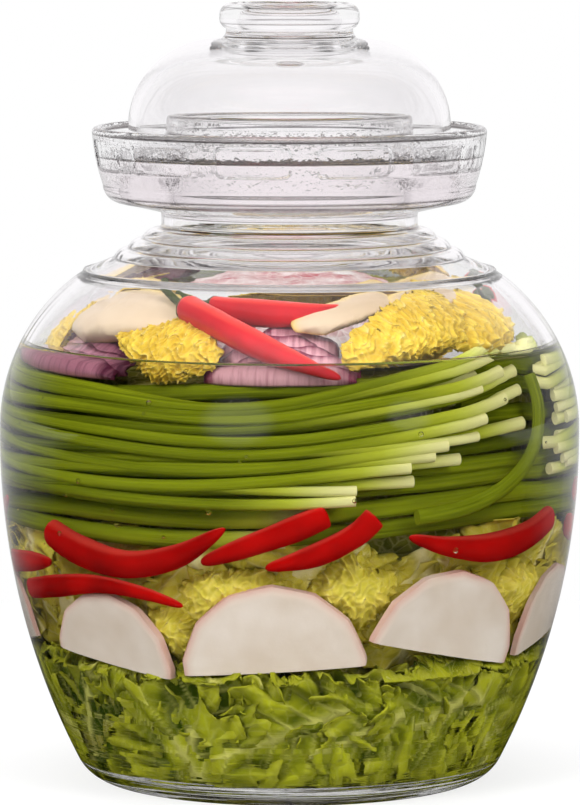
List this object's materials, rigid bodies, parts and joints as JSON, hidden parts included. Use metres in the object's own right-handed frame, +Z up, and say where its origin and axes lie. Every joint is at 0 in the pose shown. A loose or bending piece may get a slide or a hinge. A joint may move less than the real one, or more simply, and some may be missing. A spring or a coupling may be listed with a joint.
{
  "type": "water seal pickle jar",
  "caption": "Filled glass fermenting jar with a wide body, a water moat round its neck and a loose domed lid that stands in the moat's water and seals it.",
  "frame": {"origin": "centre of the base, on the surface that the jar stands on", "axes": "+Z up along the jar's axis, -Y towards the front that the picture shows, +X to its right"},
  "size_m": [0.22, 0.22, 0.295],
  "materials": {
    "jar_glass": "clear pressed glass, faint grey-lavender tint at the edges",
    "lid_glass": "clear pressed glass",
    "water": null,
    "brine": null,
    "cabbage_green": "curly green cabbage leaf with pale veins, wet",
    "cabbage_pale": "pale cabbage heart, wet",
    "napa": "cream and yellow napa leaf with a white rib, wet",
    "radish": "white radish flesh with a pink-red skin, wet",
    "chili": "glossy red chili skin",
    "stem": "green stem fading to pale yellow at its cut end, wet",
    "onion": "purple onion layers, pale inside"
  },
  "bodies": {
    "jar": {"brine": "brine", "cabbage_leaf_1": "cabbage_green", "cabbage_leaf_2": "cabbage_green", "cabbage_leaf_3": "cabbage_green", "cabbage_leaf_4": "cabbage_green", "cabbage_leaf_5": "cabbage_green", "cabbage_leaf_6": "cabbage_green", "cabbage_wedge_1": "cabbage_pale", "cabbage_wedge_2": "cabbage_pale", "cabbage_wedge_3": "cabbage_pale", "jar_body": "jar_glass", "leaf_mound": "cabbage_pale", "napa_heart_1": "napa", "napa_heart_2": "napa", "napa_heart_3": "napa", "napa_heart_4": "napa", "napa_leaf_1": "napa", "napa_leaf_2": "napa", "napa_leaf_3": "napa", "napa_leaf_4": "napa", "napa_leaf_5": "napa", "napa_leaf_6": "napa", "onion_wedge_1": "onion", "onion_wedge_2": "onion", "onion_wedge_3": "onion", "radish_slice_1": "radish", "radish_slice_2": "radish", "radish_slice_3": "radish", "radish_slice_4": "radish", "radish_slice_5": "radish", "radish_slice_6": "radish", "radish_slice_7": "radish", "radish_slice_8": "radish", "red_chili_1": "chili", "red_chili_10": "chili", "red_chili_11": "chili", "red_chili_12": "chili", "red_chili_2": "chili", "red_chili_3": "chili", "red_chili_4": "chili", "red_chili_5": "chili", "red_chili_6": "chili", "red_chili_7": "chili", "red_chili_8": "chili", "red_chili_9": "chili", "seal_water": "water", "stem_bent": "stem", "stems_back": "stem", "stems_front": "stem", "stems_inner": "stem", "stems_right": "stem", "top_chili_1": "chili", "top_chili_2": "chili", "top_chili_3": "chili"},
    "lid": {"lid": "lid_glass"}
  },
  "joints": [
    {"name": "lid_lift", "type": "slide", "parent": "jar", "child": "lid", "axis": [0, 0, 1], "range_m": [0, 0.15]}
  ]
}
